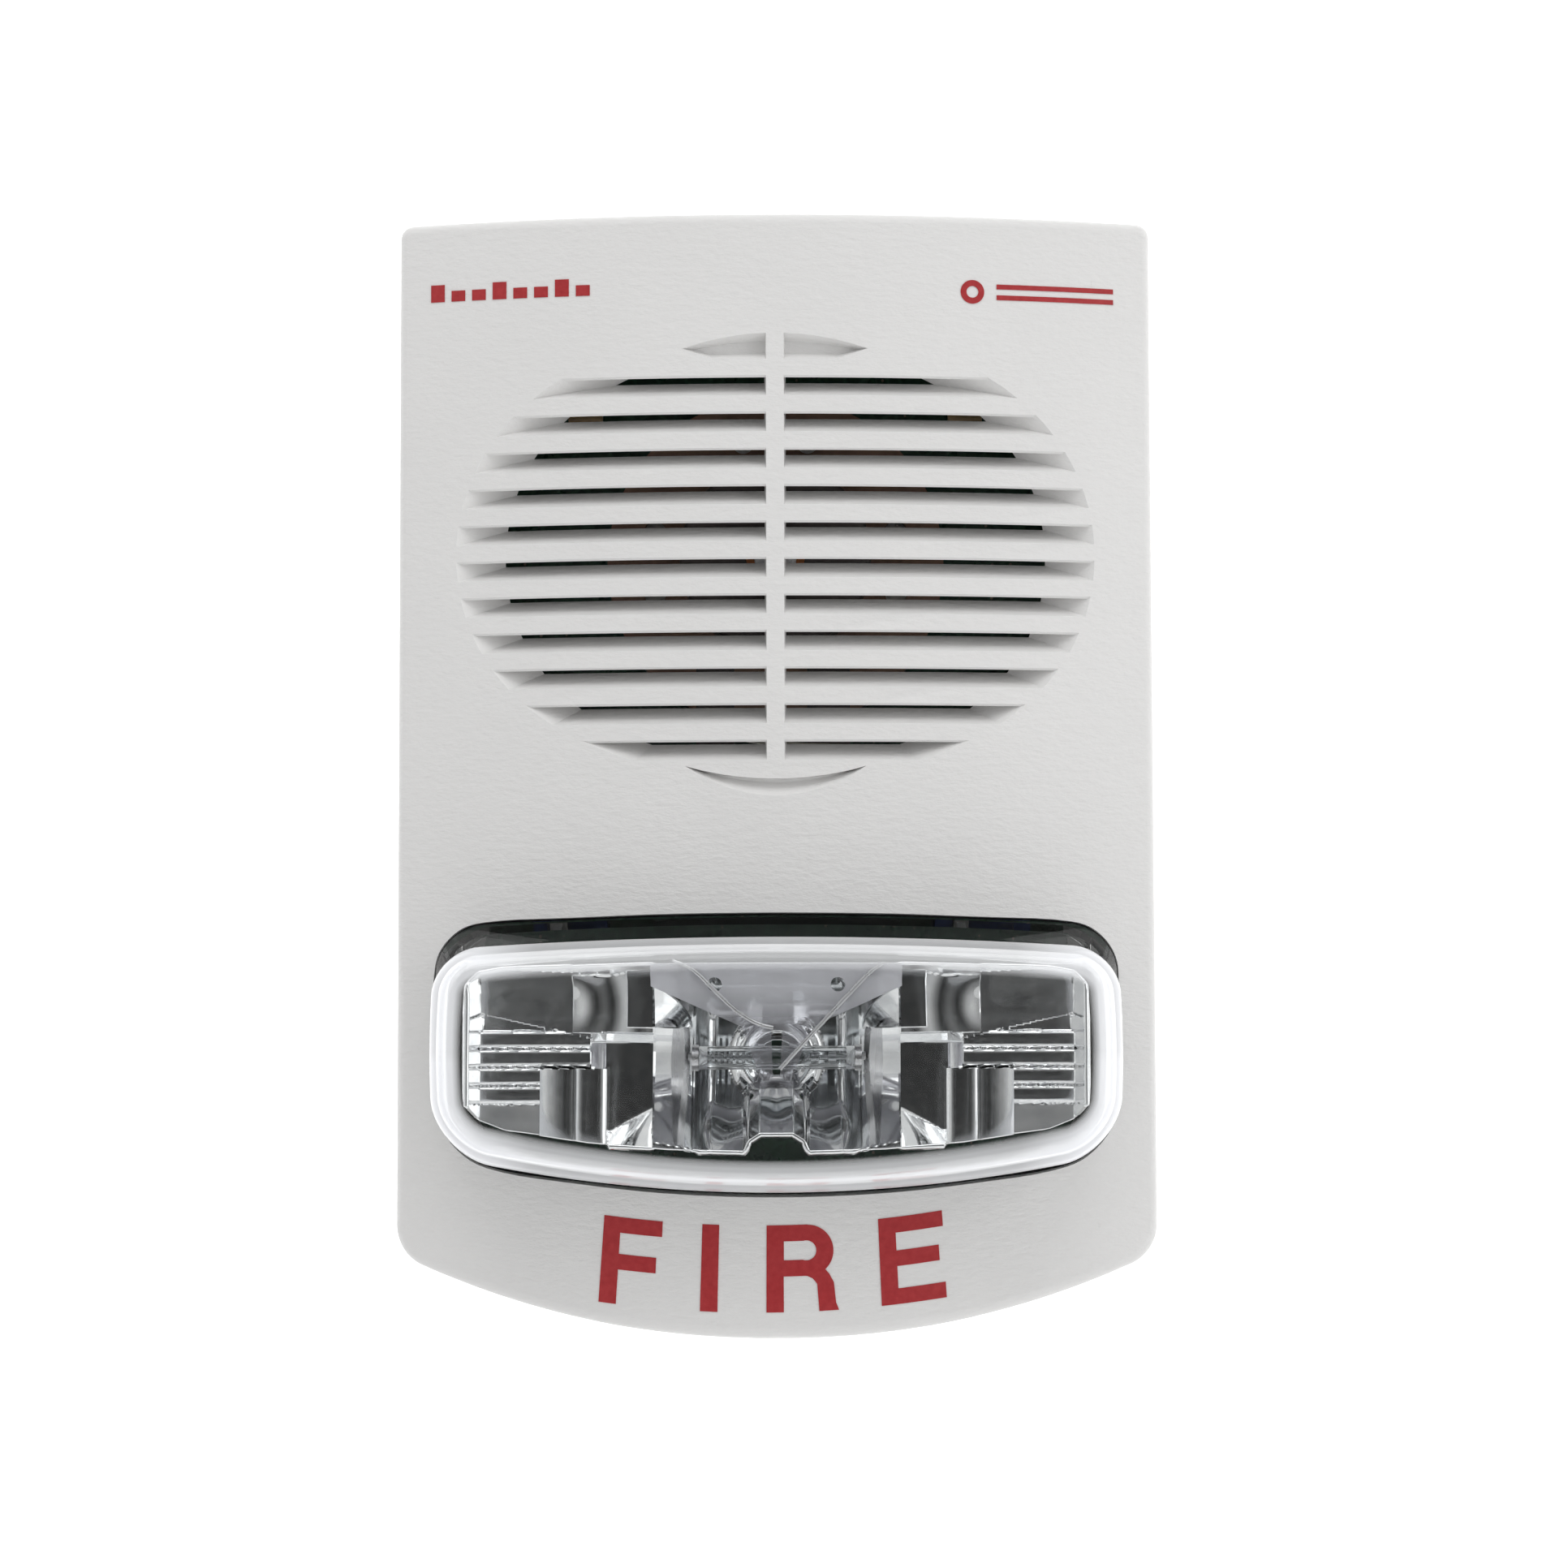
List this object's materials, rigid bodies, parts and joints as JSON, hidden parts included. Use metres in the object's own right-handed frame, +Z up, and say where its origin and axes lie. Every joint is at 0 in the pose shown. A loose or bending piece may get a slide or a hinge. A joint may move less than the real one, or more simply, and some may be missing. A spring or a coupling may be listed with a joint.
{
  "type": "horn strobe",
  "caption": "Wall-mounted alarm horn with an elliptical louvred grille above a clear domed strobe window on a curved, round-edged cover.",
  "frame": {"origin": "centre of the mounting face on the wall plane", "axes": "+Z up, +Y into the wall, the front faces -Y, +X to the right seen from the front"},
  "size_m": [0.14, 0.064, 0.206],
  "materials": {
    "cover_plastic": "fine leather grain, off-white",
    "clear_window": "clear moulded polycarbonate",
    "black_rubber": "soft black",
    "red_ink": "printed red",
    "plate_plastic": "moulded off-white",
    "board_green": "solder mask green",
    "steel": "zinc-plated steel",
    "terminal_black": "moulded black",
    "brass": "plated brass",
    "sleeve_black": "shrink sleeve",
    "ferrite": "pressed ferrite",
    "tape_yellow": "polyester tape",
    "copper": "enamelled copper",
    "heatsink_aluminium": "black-edged aluminium",
    "chip_black": "epoxy",
    "resistor_tan": "lacquered",
    "film_red": "dipped film",
    "header_white": "nylon",
    "switch_blue": "moulded blue",
    "knob_white": "moulded white",
    "horn_black": "moulded black",
    "diaphragm_metal": "thin sheet",
    "baffle_brown": "phenolic board",
    "lead_white": "insulated wire",
    "mirror_chrome": "vacuum-metallised plastic",
    "tube_glass": "clear quartz",
    "clear_clip": "clear moulded clip",
    "clamp_zinc": "zinc-plated"
  },
  "bodies": {
    "base": {"chassis": "plate_plastic", "main_board": "board_green", "board_screws": "steel", "terminal_housing": "terminal_black", "terminal_nuts": "brass", "flash_capacitor": "sleeve_black", "flash_capacitor_seal": "black_rubber", "trigger_transformer": "ferrite", "transformer_winding": "tape_yellow", "inductor": "ferrite", "inductor_winding": "copper", "heatsink": "heatsink_aluminium", "power_transistor": "chip_black", "chips": "chip_black", "resistors": "resistor_tan", "film_capacitors": "film_red", "horn_header": "header_white", "selector_body": "switch_blue", "tone_switch_body": "switch_blue", "horn_case": "horn_black", "horn_baffle": "baffle_brown", "horn_can": "horn_black", "horn_coil": "copper", "horn_pole": "steel", "horn_legs": "horn_black", "horn_leads": "lead_white", "reflector": "mirror_chrome", "flash_tube": "tube_glass", "tube_electrodes": "steel", "tube_leads": "steel", "tube_retainer": "clear_clip", "trigger_wires": "steel"},
    "front": {"cover": "cover_plastic", "lens": "clear_window", "lens_gasket": "black_rubber", "lettering": "red_ink", "corner_marks": "red_ink"},
    "selector": {"selector_knob": "knob_white"},
    "tone": {"tone_switch_lever": "knob_white"},
    "diaphragm": {"horn_diaphragm": "diaphragm_metal"},
    "clamp_1": {"wire_clamp_1": "clamp_zinc"},
    "screw_1": {"terminal_screw_1": "steel"},
    "clamp_2": {"wire_clamp_2": "clamp_zinc"},
    "screw_2": {"terminal_screw_2": "steel"},
    "clamp_3": {"wire_clamp_3": "clamp_zinc"},
    "screw_3": {"terminal_screw_3": "steel"},
    "clamp_4": {"wire_clamp_4": "clamp_zinc"},
    "screw_4": {"terminal_screw_4": "steel"}
  },
  "joints": [
    {"name": "cover_pull", "type": "slide", "parent": "base", "child": "front", "axis": [0, -1, 0], "range_m": [0, 0.09]},
    {"name": "selector_slide", "type": "slide", "parent": "base", "child": "selector", "axis": [1, 0, 0], "range_m": [0, 0.008]},
    {"name": "tone_slide", "type": "slide", "parent": "base", "child": "tone", "axis": [1, 0, 0], "range_m": [0, 0.0045]},
    {"name": "diaphragm_flex", "type": "slide", "parent": "base", "child": "diaphragm", "axis": [0, -1, 0], "range_m": [-0.0003, 0.0003], "stiffness_N_per_m": 2000},
    {"name": "clamp_1_lift", "type": "slide", "parent": "base", "child": "clamp_1", "axis": [0, -1, 0], "range_m": [0, 0.002]},
    {"name": "screw_1_turn", "type": "hinge", "parent": "clamp_1", "child": "screw_1", "pos_m": [-0.01575, -0.0225, -0.02], "axis": [0, -1, 0], "range_deg": [0, 1441]},
    {"name": "clamp_2_lift", "type": "slide", "parent": "base", "child": "clamp_2", "axis": [0, -1, 0], "range_m": [0, 0.002]},
    {"name": "screw_2_turn", "type": "hinge", "parent": "clamp_2", "child": "screw_2", "pos_m": [-0.00525, -0.0225, -0.02], "axis": [0, -1, 0], "range_deg": [0, 1441]},
    {"name": "clamp_3_lift", "type": "slide", "parent": "base", "child": "clamp_3", "axis": [0, -1, 0], "range_m": [0, 0.002]},
    {"name": "screw_3_turn", "type": "hinge", "parent": "clamp_3", "child": "screw_3", "pos_m": [0.00525, -0.0225, -0.02], "axis": [0, -1, 0], "range_deg": [0, 1441]},
    {"name": "clamp_4_lift", "type": "slide", "parent": "base", "child": "clamp_4", "axis": [0, -1, 0], "range_m": [0, 0.002]},
    {"name": "screw_4_turn", "type": "hinge", "parent": "clamp_4", "child": "screw_4", "pos_m": [0.01575, -0.0225, -0.02], "axis": [0, -1, 0], "range_deg": [0, 1441]}
  ],
  "couplings": [
    {"joint": "screw_1_turn", "follows": "clamp_1_lift", "rad_per_m": 12566},
    {"joint": "screw_2_turn", "follows": "clamp_2_lift", "rad_per_m": 12566},
    {"joint": "screw_3_turn", "follows": "clamp_3_lift", "rad_per_m": 12566},
    {"joint": "screw_4_turn", "follows": "clamp_4_lift", "rad_per_m": 12566}
  ]
}
